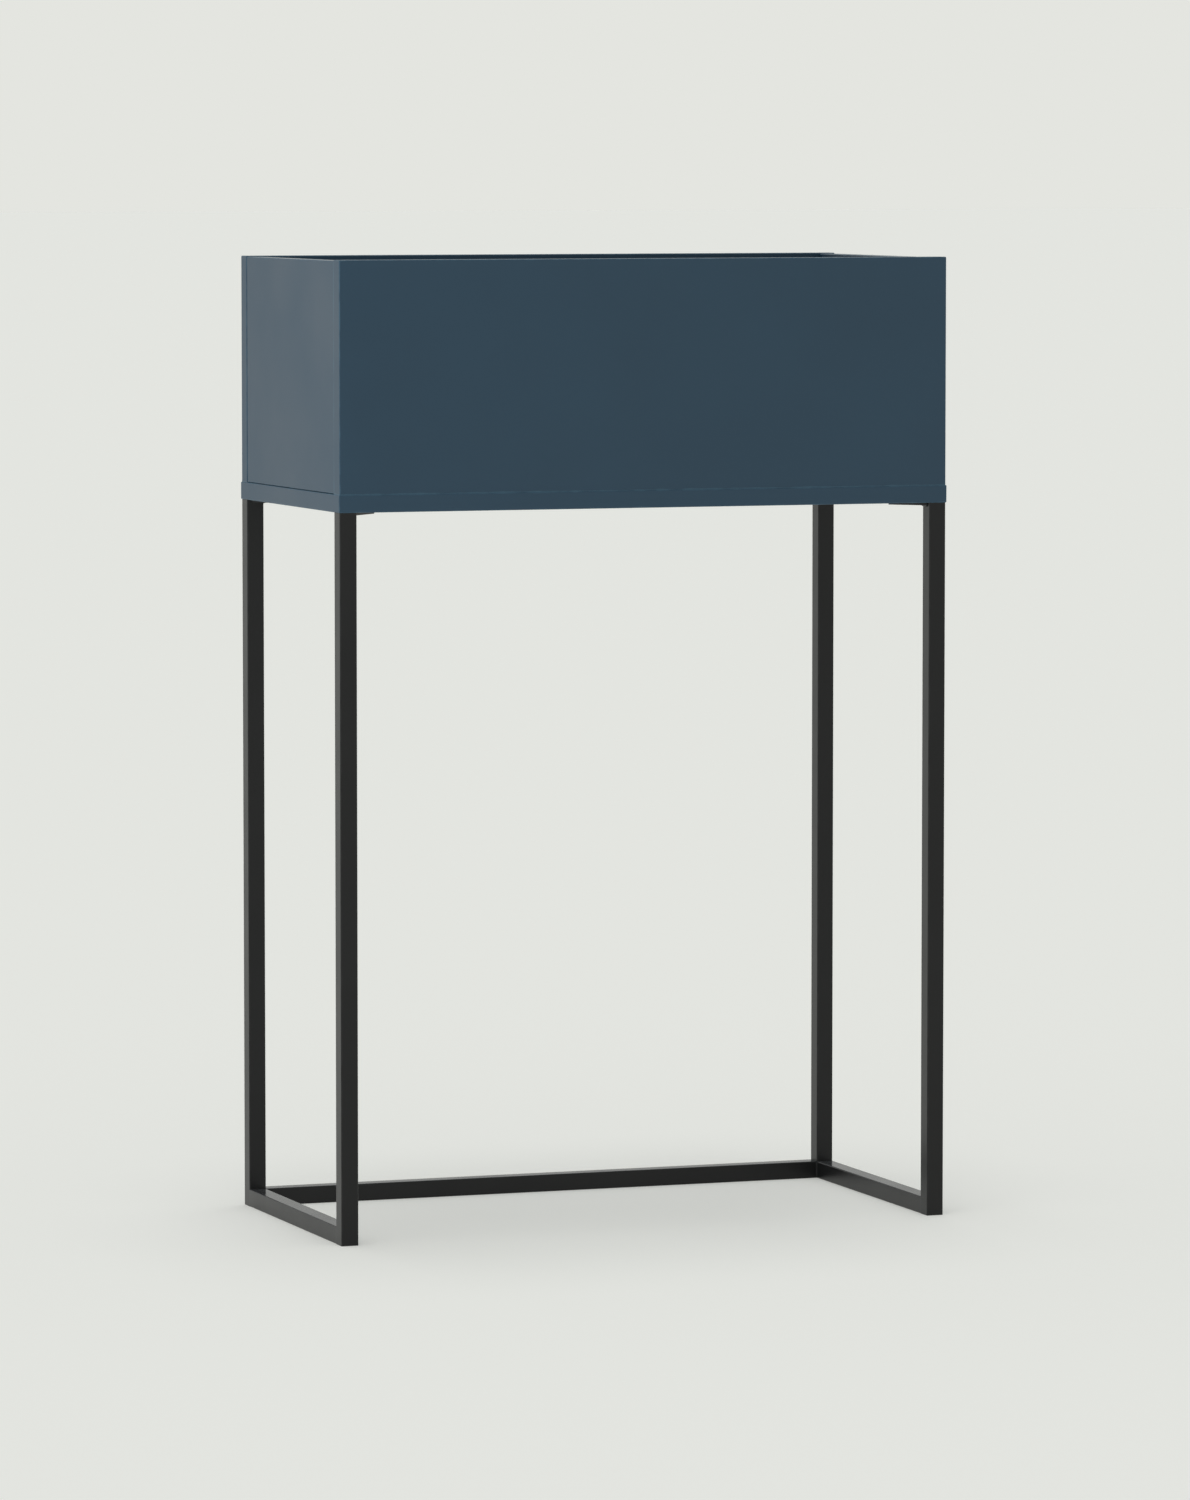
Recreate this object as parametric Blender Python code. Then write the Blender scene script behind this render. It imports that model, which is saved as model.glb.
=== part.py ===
"""Raised planter: a lacquered board box with a lift-out liner, on a square-tube steel stand.

Metres, +Z up. The front faces -Y, left is -X, and the origin is on the floor under the middle.
"""

import math

import bmesh
import bpy
from mathutils import Matrix, Vector

# Overall sizes. The stand's legs are flush with the outside of the box.
HEIGHT = 1.100
WIDTH = 0.728
DEPTH = 0.360
STAND_HEIGHT = 0.820

# Boards
PANEL_THICKNESS = 0.020
BASE_THICKNESS = 0.020
BASE_REVEAL = 0.001  # the base board stands proud of the box by this, all round
SIDE_DROP = 0.001  # the side panels' top edges lie lower than the front's by this
REAR_JOINT_GAP = 0.002  # open joint between a side panel's end and the rear panel
BOARD_EDGE = 0.0008  # broken edge

# Steel stand
TUBE = 0.020
TUBE_WALL = 0.0015
TUBE_ROUND = 0.0015
TUBE_INNER_ROUND = 0.0003
TAB_WIDTH = 0.020
TAB_THICKNESS = 0.003
TAB_REACH = 0.067  # from the box's outer corner to the tab's end, along the diagonal
TAB_SCREWS_AT = (0.041, 0.057)  # distances from the outer corner, along the diagonal

# Leg plugs
PLUG_SOLE = 0.003
PLUG_LENGTH = 0.016
PLUG_STEM_INSET = 0.0015
PLUG_RIBS_AT = (0.0070, 0.0120)
PLUG_RIB_HEIGHT = 0.001

# Screws up through the base board into the panels
BASE_SCREW_RADIUS = 0.00225
BASE_SCREW_HEAD_RADIUS = 0.0043
BASE_SCREW_HEAD_HEIGHT = 0.003
BASE_SCREW_LENGTH = 0.045
BASE_SCREW_RECESS = 0.0005
BASE_SCREW_TIP = 0.004
BASE_SCREW_INSET = 0.070  # from the box's corner to the nearest screw

# Screws up through the stand's tabs into the base board
TAB_SCREW_RADIUS = 0.0025
TAB_SCREW_HEAD_RADIUS = 0.0046
TAB_SCREW_HEAD_HEIGHT = 0.0027
TAB_SCREW_RECESS = 0.0001
TAB_SCREW_BITE = 0.014  # depth in the base board
TAB_SCREW_TIP = 0.003
SCREW_POINT_RADIUS = 0.0004

# Dowels across the box's corner joints
DOWEL_RADIUS = 0.004
DOWEL_LENGTH = 0.036
DOWEL_IN_FACE = 0.012  # depth in the front or rear panel
DOWEL_CHAMFER = 0.001
DOWEL_END_DISTANCE = 0.055  # from the panel's top and bottom edges

# Lift-out liner
LINER_TOP_BELOW_RIM = 0.015
LINER_SIDE_CLEARANCE = 0.004  # to the front and rear panels
LINER_FINGER_GAP = 0.026  # to each side panel, so that fingers reach under the lip
LINER_WALL = 0.0025
LINER_LIP_WIDTH = 0.008
LINER_LIP_DROP = 0.010
LINER_DRAFT = 0.010  # each wall leans in by this towards the bottom
LINER_CORNER = 0.025
LINER_FOOT_ROUND = 0.005

TOUCH = 0.0003  # gap kept between pieces that touch
SMOOTH_BELOW = math.radians(35)  # edges that turn by less than this are shaded smooth
CUT_PAST = 0.002  # a cutter runs this far past the face that it opens
ROUND_SIDES = 12
TUBE_CORNER_STEPS = 2
LINER_CORNER_STEPS = 4

BASE_TOP = STAND_HEIGHT + BASE_THICKNESS
PANEL_BOTTOM = BASE_TOP + TOUCH

# Name of each corner: its side in X, its side in Y, and the turn that points local +X +Y inwards
CORNERS = {
    "front_left": (-1, -1, 0),
    "front_right": (1, -1, 90),
    "rear_right": (1, 1, 180),
    "rear_left": (-1, 1, 270),
}

LACQUER = ((0.046, 0.072, 0.098), 0.45, 0.0)
POWDER_COAT = ((0.020, 0.020, 0.021), 0.35, 0.0)
ZINC = ((0.62, 0.62, 0.60), 0.35, 1.0)
BEECH = ((0.62, 0.45, 0.28), 0.60, 0.0)
BLACK_PLASTIC = ((0.022, 0.022, 0.023), 0.50, 0.0)


def clear_scene():
    for obj in list(bpy.context.scene.objects):
        bpy.data.objects.remove(obj)


def place(name, mesh, finish, matrix):
    """A named object with its own material, from a mesh and where it stands."""
    obj = bpy.data.objects.new(name, mesh)
    bpy.context.scene.collection.objects.link(obj)
    obj.matrix_world = matrix
    colour, roughness, metallic = finish
    material = bpy.data.materials.new(name)
    material.use_nodes = True
    shader = material.node_tree.nodes["Principled BSDF"]
    shader.inputs["Base Color"].default_value = (*colour, 1.0)
    shader.inputs["Roughness"].default_value = roughness
    shader.inputs["Metallic"].default_value = metallic
    if not mesh.materials:
        mesh.materials.append(None)
    obj.material_slots[0].link = "OBJECT"
    obj.material_slots[0].material = material
    return obj


def at(x, y, z):
    return Matrix.Translation((x, y, z))


def turned_by(degrees, axis):
    return Matrix.Rotation(math.radians(degrees), 4, axis)


def finished_mesh(name, bm):
    """The mesh of a closed bmesh, facing out and shaded smooth but for its sharp edges."""
    bmesh.ops.recalc_face_normals(bm, faces=bm.faces)
    mesh = bpy.data.meshes.new(name)
    bm.to_mesh(mesh)
    bm.free()
    mesh.shade_smooth()
    mesh.set_sharp_from_angle(angle=SMOOTH_BELOW)
    return mesh


def skinned(name, rings, joined_round):
    """Rings of points, each a list of (x, y, z), joined by quads. The ends are capped, or join up."""
    bm = bmesh.new()
    loops = [[bm.verts.new(point) for point in ring] for ring in rings]
    pairs = list(zip(loops, loops[1:]))
    if joined_round:
        pairs.append((loops[-1], loops[0]))
    else:
        bm.faces.new(loops[0])
        bm.faces.new(loops[-1])
    for lower, upper in pairs:
        for i in range(len(lower)):
            j = (i + 1) % len(lower)
            bm.faces.new((lower[i], lower[j], upper[j], upper[i]))
    return finished_mesh(name, bm)


def rounded_ring(half_x, half_y, radius, steps, z):
    """A rounded rectangle at a height, anticlockwise from above."""
    ring = []
    for quarter, (side_x, side_y) in enumerate(((1, 1), (-1, 1), (-1, -1), (1, -1))):
        for step in range(steps + 1):
            angle = math.radians(90 * (quarter + step / steps))
            x = side_x * (half_x - radius) + radius * math.cos(angle)
            y = side_y * (half_y - radius) + radius * math.sin(angle)
            ring.append((x, y, z))
    return ring


def turned(name, profile):
    """A solid of revolution about Z from (radius, height) points, bottom to top."""
    rings = []
    for radius, z in profile:
        turns = [math.tau * i / ROUND_SIDES for i in range(ROUND_SIDES)]
        rings.append([(radius * math.cos(t), radius * math.sin(t), z) for t in turns])
    return skinned(name, rings, joined_round=False)


def countersunk(name, head, shank, head_height, length, tip):
    """A countersunk screw that stands on its head at Z = 0, and the bore that clears it."""
    screw = turned(
        name,
        (
            (head, 0),
            (shank, head_height),
            (shank, length - tip),
            (SCREW_POINT_RADIUS, length),
        ),
    )
    bore = turned(
        name + "_bore",
        (
            (head + TOUCH, -CUT_PAST),
            (head + TOUCH, 0),
            (shank + TOUCH, head_height),
            (shank + TOUCH, length + TOUCH),
        ),
    )
    return screw, bore


def board(name, low, high, finish=LACQUER):
    """A board with broken edges between two corners."""
    size = Vector(high) - Vector(low)
    bm = bmesh.new()
    bmesh.ops.create_cube(bm, size=1.0)
    bmesh.ops.scale(bm, vec=size, verts=bm.verts)
    obj = place(name, finished_mesh(name, bm), finish, at(*(Vector(low) + size / 2)))
    bevel = obj.modifiers.new("broken_edges", "BEVEL")
    bevel.width = BOARD_EDGE
    bevel.segments = 1
    return obj


def drill(piece, holes):
    """Cuts every hole of a piece. A hole is a mesh and where it stands in the world."""
    bm = bmesh.new()
    for mesh, matrix in holes:
        shape = mesh.copy()
        shape.transform(matrix)
        bm.from_mesh(shape)
        bpy.data.meshes.remove(shape)
    cutter = bpy.data.objects.new("cutter_" + piece.name, finished_mesh("cutter", bm))
    bpy.context.scene.collection.objects.link(cutter)
    cutter.hide_render = True
    cutter.display_type = "WIRE"
    boolean = piece.modifiers.new("holes", "BOOLEAN")
    boolean.operation = "DIFFERENCE"
    boolean.solver = "EXACT"
    boolean.object = cutter


def make_boards():
    """The box's four panels and its base board."""
    half_x = WIDTH / 2
    half_y = DEPTH / 2
    inner_y = half_y - PANEL_THICKNESS
    side_top = HEIGHT - SIDE_DROP
    boards = {}
    boards["front_panel"] = board(
        "front_panel", (-half_x, -half_y, PANEL_BOTTOM), (half_x, -inner_y, HEIGHT)
    )
    boards["rear_panel"] = board(
        "rear_panel", (-half_x, inner_y, PANEL_BOTTOM), (half_x, half_y, HEIGHT)
    )
    for side, sign in (("left", -1), ("right", 1)):
        near = sign * half_x
        far = sign * (half_x - PANEL_THICKNESS)
        name = side + "_side_panel"
        boards[name] = board(
            name,
            (min(near, far), -inner_y + TOUCH, PANEL_BOTTOM),
            (max(near, far), inner_y - REAR_JOINT_GAP, side_top),
        )
    out_x = half_x + BASE_REVEAL
    out_y = half_y + BASE_REVEAL
    boards["base_board"] = board(
        "base_board", (-out_x, -out_y, STAND_HEIGHT), (out_x, out_y, BASE_TOP)
    )
    return boards


def make_dowels(holes):
    """Two dowels across each corner joint, from the front or rear panel into a side panel's end."""
    dowel = turned(
        "dowel",
        (
            (DOWEL_RADIUS - DOWEL_CHAMFER, 0),
            (DOWEL_RADIUS, DOWEL_CHAMFER),
            (DOWEL_RADIUS, DOWEL_LENGTH - DOWEL_CHAMFER),
            (DOWEL_RADIUS - DOWEL_CHAMFER, DOWEL_LENGTH),
        ),
    )
    bore = turned(
        "dowel_bore",
        ((DOWEL_RADIUS + TOUCH, -TOUCH), (DOWEL_RADIUS + TOUCH, DOWEL_LENGTH + TOUCH)),
    )
    start_y = DEPTH / 2 - PANEL_THICKNESS + DOWEL_IN_FACE
    heights = {
        "lower": PANEL_BOTTOM + DOWEL_END_DISTANCE,
        "upper": HEIGHT - DOWEL_END_DISTANCE,
    }
    for corner, (side_x, side_y, _) in CORNERS.items():
        face, side = corner.split("_")
        for level, z in heights.items():
            x = side_x * (WIDTH / 2 - PANEL_THICKNESS / 2)
            inwards = turned_by(90 * side_y, "X")
            matrix = at(x, side_y * start_y, z) @ inwards
            place("corner_dowel_" + corner + "_" + level, dowel, BEECH, matrix)
            holes[face + "_panel"].append((bore, matrix))
            holes[side + "_side_panel"].append((bore, matrix))


def make_base_screws(holes):
    """Screws up through the base board into the panels' bottom edges."""
    screw, bore = countersunk(
        "base_screw",
        BASE_SCREW_HEAD_RADIUS,
        BASE_SCREW_RADIUS,
        BASE_SCREW_HEAD_HEIGHT,
        BASE_SCREW_LENGTH,
        BASE_SCREW_TIP,
    )
    centre_x = WIDTH / 2 - PANEL_THICKNESS / 2
    centre_y = DEPTH / 2 - PANEL_THICKNESS / 2
    last_x = WIDTH / 2 - BASE_SCREW_INSET
    last_y = DEPTH / 2 - BASE_SCREW_INSET
    places = []
    for face, y in (("front", -centre_y), ("rear", centre_y)):
        for where, x in (("left", -last_x), ("middle", 0), ("right", last_x)):
            places.append((face + "_" + where, face + "_panel", x, y))
    for side, x in (("left", -centre_x), ("right", centre_x)):
        for where, y in (("front", -last_y), ("rear", last_y)):
            places.append((side + "_" + where, side + "_side_panel", x, y))
    for where, panel, x, y in places:
        matrix = at(x, y, STAND_HEIGHT + BASE_SCREW_RECESS)
        place("base_screw_" + where, screw, ZINC, matrix)
        holes["base_board"].append((bore, matrix))
        holes[panel].append((bore, matrix))


def corner_matrix(corner):
    """Local origin on the box's outer corner, with +X and +Y pointing inwards along its edges."""
    side_x, side_y, turn = CORNERS[corner]
    return at(side_x * WIDTH / 2, side_y * DEPTH / 2, 0) @ turned_by(turn, "Z")


def tube(name, length):
    """Square steel tube standing on Z = 0, open at both ends."""
    inner = TUBE / 2 - TUBE_WALL
    sections = (
        (TUBE / 2, TUBE_ROUND, 0),
        (TUBE / 2, TUBE_ROUND, length),
        (inner, TUBE_INNER_ROUND, length),
        (inner, TUBE_INNER_ROUND, 0),
    )
    rings = [rounded_ring(half, half, r, TUBE_CORNER_STEPS, z) for half, r, z in sections]
    return skinned(name, rings, joined_round=True)


def make_stand_tubes():
    """Four legs, and three bars on the floor between them. The front stays open."""
    leg = tube("leg", STAND_HEIGHT - TOUCH)
    for corner in CORNERS:
        matrix = corner_matrix(corner) @ at(TUBE / 2, TUBE / 2, 0)
        place("leg_" + corner, leg, POWDER_COAT, matrix)
    side_length = DEPTH - 2 * TUBE - 2 * TOUCH
    side_bar = tube("side_bar", side_length)
    for side, sign in (("left", -1), ("right", 1)):
        x = sign * (WIDTH - TUBE) / 2
        matrix = at(x, side_length / 2, TUBE / 2) @ turned_by(90, "X")
        place("bottom_bar_" + side, side_bar, POWDER_COAT, matrix)
    rear_length = WIDTH - 2 * TUBE - 2 * TOUCH
    matrix = at(-rear_length / 2, (DEPTH - TUBE) / 2, TUBE / 2) @ turned_by(90, "Y")
    place("bottom_bar_rear", tube("rear_bar", rear_length), POWDER_COAT, matrix)


def make_leg_plugs():
    """Ribbed plastic plugs pushed into the legs' lower ends, their soles level with the steel."""
    full = TUBE / 2 - TUBE_WALL - TOUCH
    stem = full - PLUG_STEM_INSET
    sections = [(full, TOUCH), (full, PLUG_SOLE), (stem, PLUG_SOLE)]
    for z in PLUG_RIBS_AT:
        sections += [(stem, z), (full, z + PLUG_RIB_HEIGHT), (stem, z + 2 * PLUG_RIB_HEIGHT)]
    sections.append((stem, PLUG_LENGTH))
    rings = [rounded_ring(half, half, TUBE_INNER_ROUND, 1, z) for half, z in sections]
    plug = skinned("plug", rings, joined_round=False)
    for corner in CORNERS:
        matrix = corner_matrix(corner) @ at(TUBE / 2, TUBE / 2, 0)
        place("leg_plug_" + corner, plug, BLACK_PLASTIC, matrix)


def make_tabs(holes):
    """Flat tabs welded to the legs' tops. Each is notched round its leg and points at the middle."""
    top = STAND_HEIGHT - TOUCH
    bottom = top - TAB_THICKNESS
    leg_face = TUBE + TOUCH
    across = TAB_WIDTH / 2 * math.sqrt(2)
    end = TAB_REACH / math.sqrt(2)
    shift = TAB_WIDTH / 2 / math.sqrt(2)
    outline = (
        (leg_face, leg_face - across),
        (end + shift, end - shift),
        (end - shift, end + shift),
        (leg_face - across, leg_face),
        (leg_face, leg_face),
    )
    rings = [[(x, y, z) for x, y in outline] for z in (bottom, top)]
    tab = skinned("tab", rings, joined_round=False)
    head_at = bottom + TAB_SCREW_RECESS
    screw, bore = countersunk(
        "tab_screw",
        TAB_SCREW_HEAD_RADIUS,
        TAB_SCREW_RADIUS,
        TAB_SCREW_HEAD_HEIGHT,
        STAND_HEIGHT + TAB_SCREW_BITE - head_at,
        TAB_SCREW_TIP,
    )
    for corner in CORNERS:
        piece = place("mounting_tab_" + corner, tab, POWDER_COAT, corner_matrix(corner))
        name = piece.name
        holes[name] = []
        for where, distance in zip(("outer", "inner"), TAB_SCREWS_AT):
            offset = distance / math.sqrt(2)
            matrix = corner_matrix(corner) @ at(offset, offset, head_at)
            place("tab_screw_" + corner + "_" + where, screw, ZINC, matrix)
            holes[name].append((bore, matrix))
            holes["base_board"].append((bore, matrix))


def make_liner():
    """Moulded tub with drafted walls and a turned-down lip. It stands loose on the base board."""
    bottom = BASE_TOP + TOUCH
    top = HEIGHT - LINER_TOP_BELOW_RIM
    lip_x = WIDTH / 2 - PANEL_THICKNESS - LINER_FINGER_GAP
    lip_y = DEPTH / 2 - PANEL_THICKNESS - LINER_SIDE_CLEARANCE
    to_wall = LINER_LIP_WIDTH
    to_foot = to_wall + LINER_DRAFT
    under_lip = top - LINER_WALL
    lip_end = top - LINER_LIP_DROP
    sections = (
        (to_foot + LINER_FOOT_ROUND, bottom),
        (to_foot, bottom + LINER_FOOT_ROUND),
        (to_wall, under_lip),
        (LINER_WALL, under_lip),
        (LINER_WALL, lip_end),
        (0, lip_end),
        (0, top),
        (to_wall + LINER_WALL, top),
        (to_foot + LINER_WALL, bottom + LINER_FOOT_ROUND),
        (to_foot + LINER_FOOT_ROUND, bottom + LINER_WALL),
    )
    corner = LINER_CORNER + LINER_LIP_WIDTH
    rings = [
        rounded_ring(lip_x - inset, lip_y - inset, corner - inset, LINER_CORNER_STEPS, z - bottom)
        for inset, z in sections
    ]
    lift = bpy.data.objects.new("liner_lift", None)
    bpy.context.scene.collection.objects.link(lift)
    lift.location = (0, 0, bottom)
    tub = place("liner_tub", skinned("liner_tub", rings, joined_round=False), BLACK_PLASTIC, at(0, 0, 0))
    tub.parent = lift


def main():
    clear_scene()
    boards = make_boards()
    holes = {name: [] for name in boards}
    make_dowels(holes)
    make_base_screws(holes)
    make_stand_tubes()
    make_leg_plugs()
    make_tabs(holes)
    make_liner()
    for name, shapes in holes.items():
        drill(bpy.data.objects[name], shapes)


main()
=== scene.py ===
"""Raised planter: a lacquered board box with a lift-out tub, on a slim stand of square steel tube.

Metres, +Z up. The front faces -Y, and the origin is on the floor under the middle.
"""

import math

import bmesh
import bpy
from mathutils import Matrix, Vector


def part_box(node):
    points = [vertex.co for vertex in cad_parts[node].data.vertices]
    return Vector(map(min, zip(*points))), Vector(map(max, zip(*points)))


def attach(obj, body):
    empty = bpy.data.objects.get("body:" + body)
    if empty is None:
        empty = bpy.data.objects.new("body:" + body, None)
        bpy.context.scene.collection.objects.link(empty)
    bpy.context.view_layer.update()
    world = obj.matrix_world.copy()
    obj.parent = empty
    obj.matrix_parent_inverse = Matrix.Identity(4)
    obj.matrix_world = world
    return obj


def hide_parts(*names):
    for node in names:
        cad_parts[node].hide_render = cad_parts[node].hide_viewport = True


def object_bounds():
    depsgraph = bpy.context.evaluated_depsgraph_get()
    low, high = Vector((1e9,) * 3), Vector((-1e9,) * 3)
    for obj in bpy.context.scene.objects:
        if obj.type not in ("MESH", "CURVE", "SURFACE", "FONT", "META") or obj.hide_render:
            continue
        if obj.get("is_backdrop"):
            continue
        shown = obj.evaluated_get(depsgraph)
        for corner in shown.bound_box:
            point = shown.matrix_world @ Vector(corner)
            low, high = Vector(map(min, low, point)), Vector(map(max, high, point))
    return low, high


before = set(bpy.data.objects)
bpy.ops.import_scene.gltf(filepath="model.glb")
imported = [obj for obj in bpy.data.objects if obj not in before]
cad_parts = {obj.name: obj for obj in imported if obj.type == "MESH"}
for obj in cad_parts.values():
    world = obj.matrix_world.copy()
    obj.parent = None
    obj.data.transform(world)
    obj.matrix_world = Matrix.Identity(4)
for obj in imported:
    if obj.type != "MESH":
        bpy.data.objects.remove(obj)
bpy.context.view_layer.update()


# ---- Camera ----
# Stands well back and to the left, a little above the rim, with a long lens, and looks slightly down
# at the planter's middle.
LENS_MM = 181.92
AIM_AT = Vector((0.0032, -0.0012, 0.533))
CAMERA_DISTANCE = 8.7206
CAMERA_AZIMUTH = math.radians(-20.166)
CAMERA_ELEVATION = math.radians(4.588)
CAMERA_REACH = 400.0

back = Vector((
    math.sin(CAMERA_AZIMUTH) * math.cos(CAMERA_ELEVATION),
    -math.cos(CAMERA_AZIMUTH) * math.cos(CAMERA_ELEVATION),
    math.sin(CAMERA_ELEVATION),
))
camera_data = bpy.data.cameras.new("camera")
camera_data.lens = LENS_MM
camera_data.clip_end = CAMERA_REACH
camera = bpy.data.objects.new("camera", camera_data)
bpy.context.scene.collection.objects.link(camera)
camera.location = AIM_AT + back * CAMERA_DISTANCE
camera.rotation_euler = (-back).to_track_quat("-Z", "Y").to_euler()
bpy.context.scene.camera = camera


# ---- Studio ----
# A plain pale floor that runs on without an edge, an even pale surround, and two broad soft lights
# overhead, one leaning to the camera and one away. The floor comes out in the surround's own tone,
# a third of it as a glow that keeps the shadow light. A soft box at the left lights the planter only.
BACKDROP = (0.776, 0.784, 0.745, 1.0)
SURROUND = (0.380, 0.385, 0.390, 1.0)
SURROUND_RISE = 0.40  # the sine of the height by which the backdrop has faded into the surround
SURROUND_LEFT = 1.22  # how bright it is at the left, against the right
SURROUND_RIGHT = 0.76
FLOOR = (0.798, 0.8065, 0.766, 1.0)
FLOOR_GLOW = 0.325
FLOOR_SIDE = 240.0
TOP_LIGHT_STRENGTH = 0.403
TOP_LIGHT_SPREAD = math.radians(24)
TOP_LIGHT_LEAN = math.radians(10)
SIDE_LIGHT_AT = Vector((-1.35, -0.50, 1.20))
SIDE_LIGHT_AIM = Vector((-0.36, -0.05, 0.80))
SIDE_LIGHT_SIZE = 0.9
SIDE_LIGHT_POWER = 4.6
SIDE_LIGHT_TINT = (0.75, 0.90, 0.98)


def add_node(tree, kind, inputs=None, **settings):
    """A node with its settings and its inputs, each a value or the socket that feeds it."""
    node = tree.nodes.new(kind)
    for key, value in settings.items():
        setattr(node, key, value)
    for key, value in (inputs or {}).items():
        if isinstance(value, bpy.types.NodeSocket):
            tree.links.new(value, node.inputs[key])
        else:
            node.inputs[key].default_value = value
    return node


bpy.context.scene.view_settings.view_transform = "Standard"
world = bpy.data.worlds.new("studio")
world.use_nodes = True
world.node_tree.nodes.clear()
seen = add_node(world.node_tree, "ShaderNodeBackground", {"Color": BACKDROP})
towards = add_node(
    world.node_tree,
    "ShaderNodeSeparateXYZ",
    {0: add_node(world.node_tree, "ShaderNodeTexCoord").outputs["Generated"]},
).outputs
risen = add_node(world.node_tree, "ShaderNodeMapRange", {"Value": towards[2], "From Max": SURROUND_RISE})
around = add_node(
    world.node_tree,
    "ShaderNodeMix",
    {0: risen.outputs[0], 6: BACKDROP, 7: SURROUND},
    data_type="RGBA",
)
sideways = add_node(
    world.node_tree,
    "ShaderNodeMapRange",
    {"Value": towards[0], "From Min": -1.0, "To Min": SURROUND_LEFT, "To Max": SURROUND_RIGHT},
)
lighting = add_node(
    world.node_tree,
    "ShaderNodeBackground",
    {"Color": around.outputs[2], "Strength": sideways.outputs[0]},
)
ray = add_node(world.node_tree, "ShaderNodeLightPath")
either = add_node(
    world.node_tree,
    "ShaderNodeMixShader",
    {0: ray.outputs["Is Camera Ray"], 1: lighting.outputs[0], 2: seen.outputs[0]},
)
add_node(world.node_tree, "ShaderNodeOutputWorld", {"Surface": either.outputs[0]})
bpy.context.scene.world = world

top_light = bpy.data.lights.new("top_light", "SUN")
top_light.energy = TOP_LIGHT_STRENGTH
top_light.angle = TOP_LIGHT_SPREAD
for name, lean in (("top_light_near", TOP_LIGHT_LEAN), ("top_light_far", -TOP_LIGHT_LEAN)):
    lamp = bpy.data.objects.new(name, top_light)
    bpy.context.scene.collection.objects.link(lamp)
    lamp.rotation_euler = (lean, 0, CAMERA_AZIMUTH)

side_light = bpy.data.lights.new("side_light", "AREA")
side_light.energy = SIDE_LIGHT_POWER
side_light.size = SIDE_LIGHT_SIZE
side_light.color = SIDE_LIGHT_TINT
side_lamp = bpy.data.objects.new("side_light", side_light)
bpy.context.scene.collection.objects.link(side_lamp)
side_lamp.location = SIDE_LIGHT_AT
side_lamp.rotation_euler = (SIDE_LIGHT_AIM - SIDE_LIGHT_AT).to_track_quat("-Z", "Y").to_euler()
lit_pieces = bpy.data.collections.new("lit_pieces")
side_lamp.light_linking.receiver_collection = lit_pieces

floor_material = bpy.data.materials.new("pale_floor")
floor_material.use_nodes = True
floor_shader = floor_material.node_tree.nodes["Principled BSDF"]
floor_shader.inputs["Base Color"].default_value = FLOOR
floor_shader.inputs["Roughness"].default_value = 1.0
floor_shader.inputs["Specular IOR Level"].default_value = 0.0
floor_shader.inputs["Emission Color"].default_value = BACKDROP
floor_shader.inputs["Emission Strength"].default_value = FLOOR_GLOW
floor_mesh = bpy.data.meshes.new("studio_floor")
corner = FLOOR_SIDE / 2
floor_mesh.from_pydata(
    [(-corner, -corner, 0), (corner, -corner, 0), (corner, corner, 0), (-corner, corner, 0)],
    [],
    [(0, 1, 2, 3)],
)
floor_mesh.materials.append(floor_material)
floor = bpy.data.objects.new("studio_floor", floor_mesh)
bpy.context.scene.collection.objects.link(floor)
floor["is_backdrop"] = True


# ---- Box: four panels and a base board ----
# 20 mm boards, sprayed on every side with a satin petrol-blue lacquer over lightly broken edges. The
# front and rear panels cover the side panels' ends. The corners are dowelled, and the base board is
# screwed up into the panels' lower edges, a millimetre proud of them.
BOARD_EDGE = 0.0012
EDGE_STEPS = 4
LACQUER = {
    "colour": (0.0180, 0.0540, 0.0925, 1.0),
    "thin": (0.0205, 0.0595, 0.1005, 1.0),  # where the coat is a little thinner
    "rubbed": (0.0560, 0.1380, 0.2000, 1.0),  # a painted highlight along the edges
    "dust_and_highlight": (0.1700, 0.3000, 0.3800, 1.0),  # a painted highlight on what looks up, above all on the rounded top edges
    "edge reach": 0.0012,
    "edge wear and highlight": 0.70,
    "settled amount": 0.31,
    "settled least": 0.85,  # of that amount, where it shows least
    "gloss": (0.38, 0.45),  # the roughness where it is smoothest and roughest
    "rubbed gloss": 0.15,  # how much smoother hands have rubbed what looks up
    "grain": 520.0,  # how fine a pattern is, in noise per metre
    "clouds": 7.0,
    "grain depth": 0.000020,
    "ior": 1.45,
}
DUST_LEAST = 0.4  # of a full coat, in the thinnest patches
STEEPEST = 0.5  # how far up a face has to look before dust and the painted highlight show, as the cosine of its tilt
NOISE_SPAN = (0.3, 0.7)  # what a noise mostly stays within
WEAR_SPAN = (0.3, 1.6)  # how the reach of the rubbing varies
CLEARANCE = 0.0003  # round a screw or a dowel in its hole
TURNED_SIDES = 24
SHARP = math.radians(35)
TOUCHING = 1e-6


def new_group(kind, name, inputs, outputs):
    """A node group with named sockets. An input is (name, type, value) and an output (name, type)."""
    group = bpy.data.node_groups.new(name, kind)
    for label, form, value in inputs:
        socket = group.interface.new_socket(label, in_out="INPUT", socket_type="NodeSocket" + form)
        if value is not None:
            socket.default_value = value
    for label, form in outputs:
        group.interface.new_socket(label, in_out="OUTPUT", socket_type="NodeSocket" + form)
    given = group.nodes.new("NodeGroupInput").outputs
    result = group.nodes.new("NodeGroupOutput").inputs
    return group, given, result


def calc(tree, operation, *values, clamped=False):
    """The result of a Math node."""
    inputs = dict(enumerate(values))
    return add_node(tree, "ShaderNodeMath", inputs, operation=operation, use_clamp=clamped).outputs[0]


def ranged(tree, value, first, last, low, high, clamped=True):
    """A value's place between first and last, taken from low to high."""
    inputs = {"Value": value, "From Min": first, "From Max": last, "To Min": low, "To Max": high}
    return add_node(tree, "ShaderNodeMapRange", inputs, clamp=clamped).outputs[0]


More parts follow.
